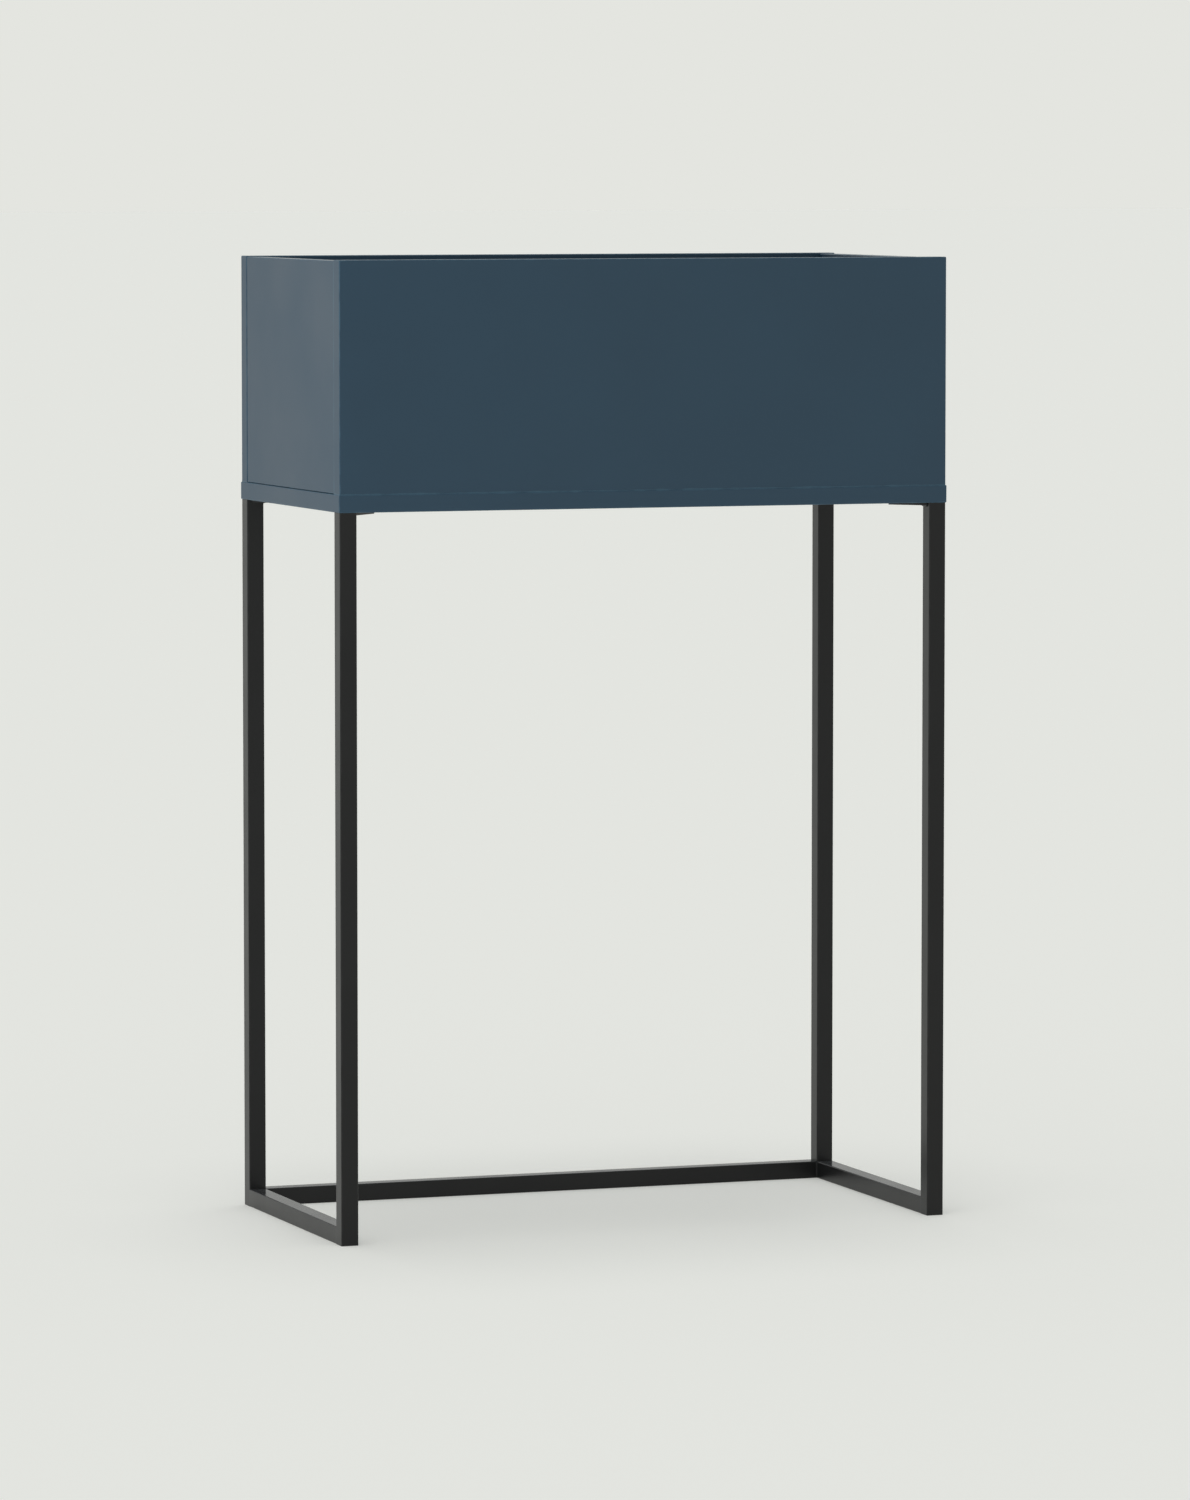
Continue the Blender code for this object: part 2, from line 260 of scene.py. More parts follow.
def vector_calc(tree, operation, *values):
    """The vector that comes from a Vector Math node."""
    return add_node(tree, "ShaderNodeVectorMath", dict(enumerate(values)), operation=operation).outputs[0]


def split(tree, vector):
    return add_node(tree, "ShaderNodeSeparateXYZ", {0: vector}).outputs


def noise(tree, position, scale, detail=2.0):
    inputs = {"Vector": position, "Scale": scale, "Detail": detail}
    return add_node(tree, "ShaderNodeTexNoise", inputs).outputs["Fac"]


def blend_colours(tree, factor, first, second):
    inputs = {0: factor, 6: first, 7: second}
    return add_node(tree, "ShaderNodeMix", inputs, data_type="RGBA").outputs[2]


# Edges of anything box-shaped, for edge wear and a painted highlight: 1 within reach of an edge, broken
# up, and 0 on the faces.
worn_and_highlit_edges, given, result = new_group(
    "ShaderNodeTree",
    "worn_and_highlit_edges",
    [
        ("Position", "Vector", None),
        ("Middle", "Vector", None),
        ("Half size", "Vector", None),
        ("Reach", "Float", 0.0015),
        ("Patch scale", "Float", 60.0),
    ],
    [("Mask", "Float")],
)
from_middle = vector_calc(worn_and_highlit_edges, "SUBTRACT", given["Position"], given["Middle"])
depths = vector_calc(
    worn_and_highlit_edges, "SUBTRACT", given["Half size"], vector_calc(worn_and_highlit_edges, "ABSOLUTE", from_middle)
)
x, y, z = split(worn_and_highlit_edges, depths)
total = calc(worn_and_highlit_edges, "ADD", calc(worn_and_highlit_edges, "ADD", x, y), z)
deepest = calc(worn_and_highlit_edges, "MAXIMUM", calc(worn_and_highlit_edges, "MAXIMUM", x, y), z)
from_edge = calc(worn_and_highlit_edges, "SUBTRACT", total, deepest)
patches = noise(worn_and_highlit_edges, given["Position"], given["Patch scale"], detail=4.0)
patches = ranged(worn_and_highlit_edges, patches, *NOISE_SPAN, *WEAR_SPAN)
reach = calc(worn_and_highlit_edges, "MULTIPLY", given["Reach"], patches)
worn_and_highlit_edges.links.new(ranged(worn_and_highlit_edges, from_edge, 0.0, reach, 1.0, 0.0), result["Mask"])

# Dust, and on the lacquer a painted highlight, on the faces that look up, in soft patches.
settled_dust, given, result = new_group(
    "ShaderNodeTree",
    "settled_dust",
    [
        ("Position", "Vector", None),
        ("Amount", "Float", 0.1),
        ("Patch scale", "Float", 25.0),
        ("Least", "Float", DUST_LEAST),
    ],
    [("Mask", "Float")],
)
normal = add_node(settled_dust, "ShaderNodeNewGeometry").outputs["Normal"]
facing_up = ranged(settled_dust, split(settled_dust, normal)[2], STEEPEST, 1.0, 0.0, 1.0)
patches = noise(settled_dust, given["Position"], given["Patch scale"], detail=5.0)
patches = ranged(settled_dust, patches, *NOISE_SPAN, given["Least"], 1.0)
dust_and_highlight_share = calc(settled_dust, "MULTIPLY", calc(settled_dust, "MULTIPLY", facing_up, patches), given["Amount"])
settled_dust.links.new(dust_and_highlight_share, result["Mask"])

# The surface of a coat or a moulding: a fine grain as a height, and broad faint clouds.
coat_surface, given, result = new_group(
    "ShaderNodeTree",
    "coat_surface",
    [
        ("Position", "Vector", None),
        ("Grain scale", "Float", 500.0),
        ("Cloud scale", "Float", 9.0),
    ],
    [("Grain", "Float"), ("Clouds", "Float")],
)
grain = noise(coat_surface, given["Position"], given["Grain scale"])
clouds = noise(coat_surface, given["Position"], given["Cloud scale"], detail=4.0)
clouds = ranged(coat_surface, clouds, *NOISE_SPAN, 0.0, 1.0)
coat_surface.links.new(grain, result["Grain"])
coat_surface.links.new(clouds, result["Clouds"])

# How rough it is: that follows the clouds, and is less where a face looks up and gets rubbed.
worn_gloss, given, result = new_group(
    "ShaderNodeTree",
    "worn_gloss",
    [
        ("Clouds", "Float", None),
        ("Smoothest", "Float", 0.3),
        ("Roughest", "Float", 0.4),
        ("Rubbed", "Float", 0.0),
    ],
    [("Roughness", "Float")],
)
normal = add_node(worn_gloss, "ShaderNodeNewGeometry").outputs["Normal"]
smoother = ranged(worn_gloss, split(worn_gloss, normal)[2], STEEPEST, 1.0, 0.0, given["Rubbed"])
unworn = ranged(worn_gloss, given["Clouds"], 0.0, 1.0, given["Smoothest"], given["Roughest"])
worn_gloss.links.new(calc(worn_gloss, "SUBTRACT", unworn, smoother), result["Roughness"])


def new_material(name):
    """A material's tree, its shader, and the place on the object that its patterns follow."""
    material = bpy.data.materials.new(name)
    material.use_nodes = True
    tree = material.node_tree
    place = add_node(tree, "ShaderNodeTexCoord").outputs["Object"]
    return material, tree, tree.nodes["Principled BSDF"], place


def edge_wear_and_highlight_mask(tree, place, low, high, reach):
    middle = (Vector(low) + Vector(high)) / 2
    half = (Vector(high) - Vector(low)) / 2
    inputs = {"Position": place, "Middle": middle, "Half size": half, "Reach": reach}
    return add_node(tree, "ShaderNodeGroup", inputs, node_tree=worn_and_highlit_edges).outputs["Mask"]


def dust_and_highlight_mask(tree, place, amount, least=DUST_LEAST):
    inputs = {"Position": place, "Amount": amount, "Least": least}
    return add_node(tree, "ShaderNodeGroup", inputs, node_tree=settled_dust).outputs["Mask"]


def surface(tree, place, grain_scale, cloud_scale):
    inputs = {"Position": place, "Grain scale": grain_scale, "Cloud scale": cloud_scale}
    return add_node(tree, "ShaderNodeGroup", inputs, node_tree=coat_surface).outputs


def finish_shader(tree, shader, colour, clouds, gloss, height, depth, rubbed=0.0):
    """The colour, a roughness that follows the clouds from smoothest to roughest, and a relief."""
    inputs = {"Clouds": clouds, "Smoothest": gloss[0], "Roughest": gloss[1], "Rubbed": rubbed}
    roughness = add_node(tree, "ShaderNodeGroup", inputs, node_tree=worn_gloss).outputs["Roughness"]
    inputs = {"Strength": 1.0, "Distance": depth, "Height": height}
    relief = add_node(tree, "ShaderNodeBump", inputs).outputs["Normal"]
    for label, value in (("Base Color", colour), ("Roughness", roughness), ("Normal", relief)):
        tree.links.new(value, shader.inputs[label])


def coated(name, coat, low, high):
    """A coat of lacquer or powder on one piece, whose box sets where its edges get wear and a painted
    highlight.
    """
    material, tree, shader, place = new_material(name)
    grain, clouds = surface(tree, place, coat["grain"], coat["clouds"])
    colour = blend_colours(tree, clouds, coat["colour"], coat["thin"])
    # The edges get a lighter colour: wear, and a painted highlight
    edges = edge_wear_and_highlight_mask(tree, place, low, high, coat["edge reach"])
    colour = blend_colours(tree, calc(tree, "MULTIPLY", edges, coat["edge wear and highlight"]), colour, coat["rubbed"])
    # What looks up gets dust, and on the lacquer a painted highlight
    dust_and_highlight = dust_and_highlight_mask(tree, place, coat["settled amount"], coat["settled least"])
    colour = blend_colours(tree, dust_and_highlight, colour, coat["dust_and_highlight"])
    relief = coat["grain depth"]
    finish_shader(tree, shader, colour, clouds, coat["gloss"], grain, relief, coat["rubbed gloss"])
    shader.inputs["IOR"].default_value = coat["ior"]
    return material


def link_object(name, mesh):
    obj = bpy.data.objects.new(name, mesh)
    bpy.context.scene.collection.objects.link(obj)
    return obj


def make_object(name, bm, material):
    """A closed bmesh as an object at the origin, with its faces pointing out."""
    bmesh.ops.recalc_face_normals(bm, faces=bm.faces)
    mesh = bpy.data.meshes.new(name)
    bm.to_mesh(mesh)
    bm.free()
    mesh.materials.append(material)
    return link_object(name, mesh)


def settle(obj):
    """Turns what the object's modifiers make into its own plain mesh."""
    graph = bpy.context.evaluated_depsgraph_get()
    mesh = bpy.data.meshes.new_from_object(obj.evaluated_get(graph))
    obj.modifiers.clear()
    obj.data = mesh


def shade(obj):
    """Smooth round the edges and even over the wide faces."""
    obj.data.shade_smooth()
    obj.data.set_sharp_from_angle(angle=SHARP)
    even = obj.modifiers.new("even_faces", "WEIGHTED_NORMAL")
    even.keep_sharp = True
    settle(obj)


def fit(obj, body, slot, *nodes):
    """The piece stands for these solids and moves with that body. The slot it is given is not used."""
    if nodes:
        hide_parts(*nodes)
    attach(obj, body)
    lit_pieces.objects.link(obj)


def rounded_box(low, high, edge, tight=()):
    """A block between two corners, with rounded edges. In a tight joint the edges stay sharp: it is
    given as its face's axis and place, and the axis of the sharp edges, or None for all of them."""
    bm = bmesh.new()
    bmesh.ops.create_cube(bm, size=1.0)
    bmesh.ops.scale(bm, vec=high - low, verts=bm.verts)
    bmesh.ops.translate(bm, vec=(low + high) / 2, verts=bm.verts)
    rounded = []
    for line in bm.edges:
        ends = [vert.co for vert in line.verts]
        keep_sharp = False
        for axis, place, along in tight:
            on_face = all(abs(end[axis] - place) < TOUCHING for end in ends)
            runs = along is None or abs(ends[0][along] - ends[1][along]) > TOUCHING
            keep_sharp = keep_sharp or (on_face and runs)
        if not keep_sharp:
            rounded.append(line)
    bmesh.ops.bevel(bm, geom=rounded, offset=edge, segments=EDGE_STEPS, profile=0.5, affect="EDGES")
    return bm


def add_turned(bm, profile, matrix):
    """Adds a solid of revolution about local Z, from (radius, height) points."""
    rings = []
    for radius, height in profile:
        turns = [math.tau * side / TURNED_SIDES for side in range(TURNED_SIDES)]
        points = [Vector((radius * math.cos(t), radius * math.sin(t), height)) for t in turns]
        rings.append([bm.verts.new(matrix @ point) for point in points])
    bm.faces.new(rings[0])
    bm.faces.new(rings[-1])
    for lower, upper in zip(rings, rings[1:]):
        for i in range(TURNED_SIDES):
            j = (i + 1) % TURNED_SIDES
            bm.faces.new((lower[i], lower[j], upper[j], upper[i]))


def drill(obj, cutter):
    """Cuts a bmesh of closed shapes out of a piece."""
    tool = make_object("cutter", cutter, None)
    cut = obj.modifiers.new("holes", "BOOLEAN")
    cut.operation = "DIFFERENCE"
    cut.solver = "EXACT"
    cut.object = tool
    settle(obj)
    bpy.data.objects.remove(tool)


# Where the screws and dowels go through
BASE_SCREW_SHANK = 0.00225
BASE_SCREW_HEAD_HEIGHT = 0.003
TAB_SCREW_SHANK = 0.0025
TAB_SCREW_HEAD_HEIGHT = 0.0027
CUT_PAST = 0.002
base_screws = [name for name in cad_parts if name.startswith("base_screw_")]
tab_screws = [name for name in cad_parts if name.startswith("tab_screw_")]
dowels = [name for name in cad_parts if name.startswith("corner_dowel_")]


def middle_of(node):
    low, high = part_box(node)
    return (low + high) / 2


def add_screw_holes(cutter, low, high):
    """Countersunk holes for the screws whose middles lie over a piece's box, seen from above."""
    for name in base_screws + tab_screws:
        screw_low, screw_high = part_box(name)
        at = middle_of(name)
        inside = low.x < at.x < high.x and low.y < at.y < high.y and screw_high.z > low.z
        if not inside:
            continue
        shank, head_height = BASE_SCREW_SHANK, BASE_SCREW_HEAD_HEIGHT
        if name in tab_screws:
            shank, head_height = TAB_SCREW_SHANK, TAB_SCREW_HEAD_HEIGHT
        head = (screw_high.x - screw_low.x) / 2 + CLEARANCE
        shank += CLEARANCE
        length = screw_high.z - screw_low.z + CLEARANCE
        profile = [(head, -CUT_PAST), (head, 0), (shank, head_height), (shank, length)]
        add_turned(cutter, profile, Matrix.Translation((at.x, at.y, screw_low.z)))


def add_dowel_holes(cutter, low, high):
    """Holes for the dowels that a board's box holds some of."""
    for name in dowels:
        dowel_low, dowel_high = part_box(name)
        apart = any(dowel_high[i] < low[i] or dowel_low[i] > high[i] for i in range(3))
        if apart:
            continue
        radius = (dowel_high.x - dowel_low.x) / 2 + CLEARANCE
        half = (dowel_high.y - dowel_low.y) / 2 + CLEARANCE
        along_y = Matrix.Translation(middle_of(name)) @ Matrix.Rotation(math.radians(90), 4, "X")
        add_turned(cutter, [(radius, -half), (radius, half)], along_y)


BOARDS = {
    "front_panel": "front_board",
    "rear_panel": "rear_board",
    "left_side_panel": "left_board",
    "right_side_panel": "right_board",
    "base_board": "bottom_board",
}
base_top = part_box("base_board")[1].z
front_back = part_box("front_panel")[1].y
Y, Z = 1, 2
for node, name in BOARDS.items():
    low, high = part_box(node)
    tight = []
    if node in ("front_panel", "rear_panel"):
        low.z = base_top
        tight.append((Z, base_top, None))
    if node == "front_panel":
        tight.append((Y, front_back, Z))
    if "side" in node:
        low.y = front_back
        tight.append((Y, front_back, None))
    shape = rounded_box(low, high, BOARD_EDGE, tight)
    board = make_object(name, shape, coated(name + "_lacquer", LACQUER, low, high))
    cutter = bmesh.new()
    add_screw_holes(cutter, low, high)
    if node != "base_board":
        add_dowel_holes(cutter, low, high)
    drill(board, cutter)
    shade(board)
    fit(board, "planter", "board_lacquer", node)


# ---- Corner dowels ----
# Bare beech, 8 x 36 mm, fluted so that the glue spreads, with chamfered ends. Two lie across each
# corner joint, a third of their length in the front or rear panel.
FLUTES = 16
FLUTE_DEPTH = 0.00025
SIDES_IN_A_FLUTE = 4.0
FLUTE_EDGE = 0.2  # where a flute's wave ends
DOWEL_CHAMFER = 0.001
BEECH = (0.560, 0.370, 0.205, 1.0)
BEECH_LATE = (0.400, 0.235, 0.115, 1.0)
BEECH_FLECK = (0.300, 0.165, 0.080, 1.0)
BEECH_GLOSS = (0.55, 0.68)
BEECH_RINGS = 900.0
BEECH_RINGS_DRAWN_OUT = (1.0, 0.05, 1.0)  # along the grain
BEECH_RING_SPAN = (0.35, 0.65)
BEECH_FLECKS = 2400.0
BEECH_FLECKS_DRAWN_OUT = (1.0, 0.25, 1.0)
BEECH_FLECK_SPAN = (0.62, 0.68)
BEECH_FLECK_STRENGTH = 0.6
BEECH_GRAIN_DEPTH = 0.00003


def combine(tree, x=0.0, y=0.0, z=0.0):
    """The vector with these three parts."""
    return add_node(tree, "ShaderNodeCombineXYZ", {0: x, 1: y, 2: z}).outputs[0]


def move_to(tree, geometry, x, y, z):
    """The geometry with its points moved to these places."""
    inputs = {"Geometry": geometry, "Position": combine(tree, x, y, z)}
    return add_node(tree, "GeometryNodeSetPosition", inputs).outputs[0]


def end_tree(tree, given, result, geometry):
    """Makes everything real, gives it the material and ends the tree."""
    real = add_node(tree, "GeometryNodeRealizeInstances", {"Geometry": geometry}).outputs[0]
    inputs = {"Geometry": real, "Material": given["Material"]}
    tree.links.new(add_node(tree, "GeometryNodeSetMaterial", inputs).outputs[0], result["Mesh"])


def end_with_placed(tree, given, result, piece, turn):
    """Sets the piece on every point, turned, and ends the tree."""
    inputs = {"Points": given["Places"], "Instance": piece, "Rotation": turn}
    end_tree(tree, given, result, add_node(tree, "GeometryNodeInstanceOnPoints", inputs).outputs[0])


def any_turn(tree, given):
    """Any angle, a new one for each piece."""
    inputs = {2: 0.0, 3: math.tau, "Seed": given["Seed"]}
    return add_node(tree, "FunctionNodeRandomValue", inputs, data_type="FLOAT").outputs[1]


fluted_dowels, given, result = new_group(
    "GeometryNodeTree",
    "fluted_dowels",
    [
        ("Places", "Geometry", None),
        ("Radius", "Float", 0.004),
        ("Length", "Float", 0.036),
        ("Flutes", "Int", 16),
        ("Flute depth", "Float", 0.00025),
        ("Chamfer", "Float", 0.001),
        ("Seed", "Int", 4),
        ("Material", "Material", None),
    ],
    [("Mesh", "Geometry")],
)
tree = fluted_dowels
rod = add_node(
    tree,
    "GeometryNodeMeshCylinder",
    {
        "Vertices": calc(tree, "MULTIPLY", given["Flutes"], SIDES_IN_A_FLUTE),
        "Side Segments": calc(tree, "DIVIDE", given["Length"], given["Chamfer"]),
        "Radius": given["Radius"],
        "Depth": given["Length"],
    },
).outputs["Mesh"]
x, y, z = split(tree, add_node(tree, "GeometryNodeInputPosition").outputs[0])
wave = calc(tree, "COSINE", calc(tree, "MULTIPLY", calc(tree, "ARCTAN2", y, x), given["Flutes"]))
flute = calc(tree, "MULTIPLY", ranged(tree, wave, -1.0, FLUTE_EDGE, 1.0, 0.0), given["Flute depth"])
half = calc(tree, "DIVIDE", given["Length"], 2.0)
from_end = calc(tree, "SUBTRACT", half, calc(tree, "ABSOLUTE", z))
taken_off = calc(tree, "MAXIMUM", calc(tree, "SUBTRACT", given["Chamfer"], from_end), flute)
scale = calc(tree, "SUBTRACT", 1.0, calc(tree, "DIVIDE", taken_off, given["Radius"]))
fluted = move_to(tree, rod, calc(tree, "MULTIPLY", x, scale), calc(tree, "MULTIPLY", y, scale), z)
laid = combine(tree, math.radians(90), any_turn(tree, given))
end_with_placed(tree, given, result, fluted, laid)


def grow(name, tree, sizes, points, edges=(), turns=()):
    """What a geometry tree makes at these points, or along these edges, as a plain mesh."""
    mesh = bpy.data.meshes.new(name)
    mesh.from_pydata(points, edges, [])
    if turns:
        mesh.attributes.new("turn", "FLOAT", "POINT").data.foreach_set("value", turns)
    obj = link_object(name, mesh)
    grown = obj.modifiers.new("grown", "NODES")
    grown.node_group = tree
    for label, value in sizes.items():
        grown[tree.interface.items_tree[label].identifier] = value
    settle(obj)
    obj.data.materials.clear()
    obj.data.materials.append(sizes["Material"])
    obj.data.polygons.foreach_set("material_index", [0] * len(obj.data.polygons))
    shade(obj)
    return obj


beech, tree, shader, place = new_material("beech")
inputs = {"Vector": place, "Scale": BEECH_RINGS_DRAWN_OUT}
rings = noise(tree, add_node(tree, "ShaderNodeMapping", inputs).outputs[0], BEECH_RINGS, detail=4.0)
rings = ranged(tree, rings, *BEECH_RING_SPAN, 0.0, 1.0)
inputs = {"Vector": place, "Scale": BEECH_FLECKS_DRAWN_OUT}
flecks = noise(tree, add_node(tree, "ShaderNodeMapping", inputs).outputs[0], BEECH_FLECKS, detail=1.0)
flecks = ranged(tree, flecks, *BEECH_FLECK_SPAN, 0.0, BEECH_FLECK_STRENGTH)
colour = blend_colours(tree, rings, BEECH, BEECH_LATE)
colour = blend_colours(tree, flecks, colour, BEECH_FLECK)
finish_shader(tree, shader, colour, rings, BEECH_GLOSS, rings, BEECH_GRAIN_DEPTH)

low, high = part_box(dowels[0])
dowel_sizes = {
    "Radius": (high.x - low.x) / 2,
    "Length": high.y - low.y,
    "Flutes": FLUTES,
    "Flute depth": FLUTE_DEPTH,
    "Chamfer": DOWEL_CHAMFER,
    "Material": beech,
}
corner_dowels = grow("corner_dowels", fluted_dowels, dowel_sizes, [middle_of(name) for name in dowels])
fit(corner_dowels, "planter", "dowel_beech", *dowels)


# ---- Screws ----
# Bright zinc-plated steel, countersunk, with a cross recess. Ten wood screws, 4.5 x 45 mm, go up
# through the base board into the panels, their heads half a millimetre below its underside. Eight
# short 5 mm screws, flush with the stand's tabs, hold the base board down.
ZINC = (0.600, 0.605, 0.600, 1.0)
ZINC_WARM = (0.560, 0.545, 0.500, 1.0)
ZINC_GLOSS = (0.26, 0.42)
ZINC_GRAIN = 1800.0
ZINC_CLOUDS = 220.0
ZINC_GRAIN_DEPTH = 0.00001
ROWS_IN_A_PITCH = 5.0
SHAFT_SIDES = 20
POINT_LEFT = 0.10  # of the shaft's radius, at its tip

SHAFT_INPUTS = [
    ("Shank radius", "Float", 0.00225),
    ("Length", "Float", 0.045),
    ("Head radius", "Float", 0.0043),
    ("Head height", "Float", 0.003),
    ("Thread depth", "Float", 0.0005),
    ("Thread pitch", "Float", 0.0022),
    ("Plain length", "Float", 0.015),
    ("Point length", "Float", 0.005),
]
threaded_shaft, given, result = new_group(
    "GeometryNodeTree", "threaded_shaft", SHAFT_INPUTS, [("Mesh", "Geometry")]
)
tree = threaded_shaft
pitches = calc(tree, "DIVIDE", given["Length"], given["Thread pitch"])
rod = add_node(
    tree,
    "GeometryNodeMeshCylinder",
    {
        "Vertices": SHAFT_SIDES,
        "Side Segments": calc(tree, "MULTIPLY", pitches, ROWS_IN_A_PITCH),
        "Radius": given["Shank radius"],
        "Depth": given["Length"],
    },
).outputs["Mesh"]
x, y, z = split(tree, add_node(tree, "GeometryNodeInputPosition").outputs[0])
up = calc(tree, "ADD", z, calc(tree, "DIVIDE", given["Length"], 2.0))
turns = calc(tree, "DIVIDE", calc(tree, "ARCTAN2", y, x), math.tau)
wound = calc(tree, "ADD", calc(tree, "DIVIDE", up, given["Thread pitch"]), turns)
ridge = calc(tree, "PINGPONG", wound, 0.5)
root = ranged(tree, ridge, 0.0, 0.5, 1.0, 0.0)
thread_full = calc(tree, "ADD", given["Plain length"], given["Thread pitch"])
started = ranged(tree, up, given["Plain length"], thread_full, 0.0, 1.0)
cut_in = calc(tree, "MULTIPLY", calc(tree, "MULTIPLY", root, started), given["Thread depth"])
point_start = calc(tree, "SUBTRACT", given["Length"], given["Point length"])
to_point = ranged(tree, up, point_start, given["Length"], 1.0, POINT_LEFT)
shank = given["Shank radius"]
shaft_radius = calc(tree, "MULTIPLY", calc(tree, "SUBTRACT", shank, cut_in), to_point)
head_cone = ranged(tree, up, 0.0, given["Head height"], given["Head radius"], shank, clamped=False)
radius = calc(tree, "MAXIMUM", shaft_radius, head_cone)
scale = calc(tree, "DIVIDE", radius, shank)
shaft = move_to(tree, rod, calc(tree, "MULTIPLY", x, scale), calc(tree, "MULTIPLY", y, scale), up)
tree.links.new(shaft, result["Mesh"])


def cut_cross(tree, screw, length, width, depth):
    """A screw with a cross recess cut up into its head, which faces down."""
    recessed = add_node(
        tree, "GeometryNodeMeshBoolean", {"Mesh 1": screw}, operation="DIFFERENCE", solver="EXACT"
    )
    whole_depth = calc(tree, "MULTIPLY", depth, 2.0)
    for across, along in ((length, width), (width, length)):
        size = combine(tree, across, along, whole_depth)
        arm = add_node(tree, "GeometryNodeMeshCube", {"Size": size}).outputs["Mesh"]
        tree.links.new(arm, recessed.inputs["Mesh 2"])
    return recessed.outputs["Mesh"]


SCREW_INPUTS = [
    ("Places", "Geometry", None),
    *SHAFT_INPUTS,
    ("Recess length", "Float", 0.0046),
    ("Recess width", "Float", 0.0010),
    ("Recess depth", "Float", 0.0018),
    ("Seed", "Int", 7),
    ("Material", "Material", None),
]
countersunk_screws, given, result = new_group(
    "GeometryNodeTree", "countersunk_screws", SCREW_INPUTS, [("Mesh", "Geometry")]
)
tree = countersunk_screws
inputs = {label: given[label] for label, _, _ in SHAFT_INPUTS}
shaft = add_node(tree, "GeometryNodeGroup", inputs, node_tree=threaded_shaft).outputs["Mesh"]
screw = cut_cross(tree, shaft, given["Recess length"], given["Recess width"], given["Recess depth"])
end_with_placed(tree, given, result, screw, combine(tree, z=any_turn(tree, given)))

zinc, tree, shader, place = new_material("zinc_plate")
grain, clouds = surface(tree, place, ZINC_GRAIN, ZINC_CLOUDS)
colour = blend_colours(tree, clouds, ZINC, ZINC_WARM)
finish_shader(tree, shader, colour, clouds, ZINC_GLOSS, grain, ZINC_GRAIN_DEPTH)
shader.inputs["Metallic"].default_value = 1.0


def foot_of(node):
    """The middle of a node's underside."""
    low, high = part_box(node)
    return Vector(((low.x + high.x) / 2, (low.y + high.y) / 2, low.z))


BASE_SCREW_SIZES = {
    "Shank radius": BASE_SCREW_SHANK,
    "Head height": BASE_SCREW_HEAD_HEIGHT,
    "Plain length": 0.016,
}
TAB_SCREW_SIZES = {
    "Shank radius": TAB_SCREW_SHANK,
    "Head height": TAB_SCREW_HEAD_HEIGHT,
    "Plain length": 0.004,
    "Recess length": 0.0050,
    "Recess width": 0.0011,
    "Recess depth": 0.0019,
}
for name, nodes, sizes in (
    ("base_screws", base_screws, BASE_SCREW_SIZES),
    ("tab_screws", tab_screws, TAB_SCREW_SIZES),
):
    low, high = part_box(nodes[0])
    sizes |= {"Head radius": (high.x - low.x) / 2, "Length": high.z - low.z, "Material": zinc}
    screws = grow(name, countersunk_screws, sizes, [foot_of(node) for node in nodes])
    fit(screws, "planter", "screw_zinc", *nodes)


# ---- Stand: four legs and three floor bars ----
# 20 mm square steel tube with a 1.5 mm wall and tight corners, butt-welded, ground flush and powder
# coated in fine black. The front has no bar, and the box itself is the top of the stand.
TUBE_WALL = 0.0015
TUBE_ROUND = 0.0013
TUBE_INNER_ROUND = 0.0004
TUBE_CORNER_STEPS = 5
TUBE_END_EDGE = 0.0002
WELD_BITE = 0.0014  # a bar's end runs this far over the leg's rounded corner
CORNER_WELD_RADIUS = 0.0009
WELD_RIPPLE = 0.0016
WELD_RIPPLE_DEPTH = 0.22
ROWS_IN_A_RIPPLE = 6.0
BEAD_SIDES = 12
BEAD_END = 0.06  # the share of a bead over which each end thins
BEAD_END_LEFT = 0.35  # of its full thickness, at the tip
COAT = {
    "colour": (0.0098, 0.0098, 0.0102, 1.0),
    "thin": (0.0124, 0.0124, 0.0127, 1.0),
    # the edge colour is wear, lightened into a painted highlight along the tube edges
    "rubbed": (0.0380, 0.0380, 0.0380, 1.0),
    "dust_and_highlight": (0.285, 0.300, 0.305, 1.0),  # dust, and a painted sheen on the bars' tops
    "edge reach": 0.0016,
    "edge wear and highlight": 0.5,
    "settled amount": 0.20,
    "settled least": DUST_LEAST,
    "gloss": (0.28, 0.34),
    "rubbed gloss": 0.11,  # feet and brooms have rubbed the bars' tops
    "grain": 1400.0,
    "clouds": 14.0,
    "grain depth": 0.000025,
    "ior": 1.355,
}


def rounded_ring(half_x, half_y, radius, steps):
    """A rounded rectangle about the origin, anticlockwise, as (x, y) points."""
    ring = []
    for quarter, (side_x, side_y) in enumerate(((1, 1), (-1, 1), (-1, -1), (1, -1))):
        for step in range(steps + 1):
            angle = math.radians(90 * (quarter + step / steps))
            x = side_x * (half_x - radius) + radius * math.cos(angle)
            y = side_y * (half_y - radius) + radius * math.sin(angle)
            ring.append((x, y))
    return ring


def loft(rings, matrix, joined_round=False):
    """A closed bmesh through rings of (x, y, z) points. Its ends are capped, or meet each other."""
    bm = bmesh.new()
    loops = [[bm.verts.new(matrix @ Vector(point)) for point in ring] for ring in rings]
    pairs = list(zip(loops, loops[1:]))
    if joined_round:
        pairs.append((loops[-1], loops[0]))
    else:
        bm.faces.new(loops[0])
        bm.faces.new(loops[-1])
    for lower, upper in pairs:
        for i in range(len(lower)):
            j = (i + 1) % len(lower)
            bm.faces.new((lower[i], lower[j], upper[j], upper[i]))
    return bm


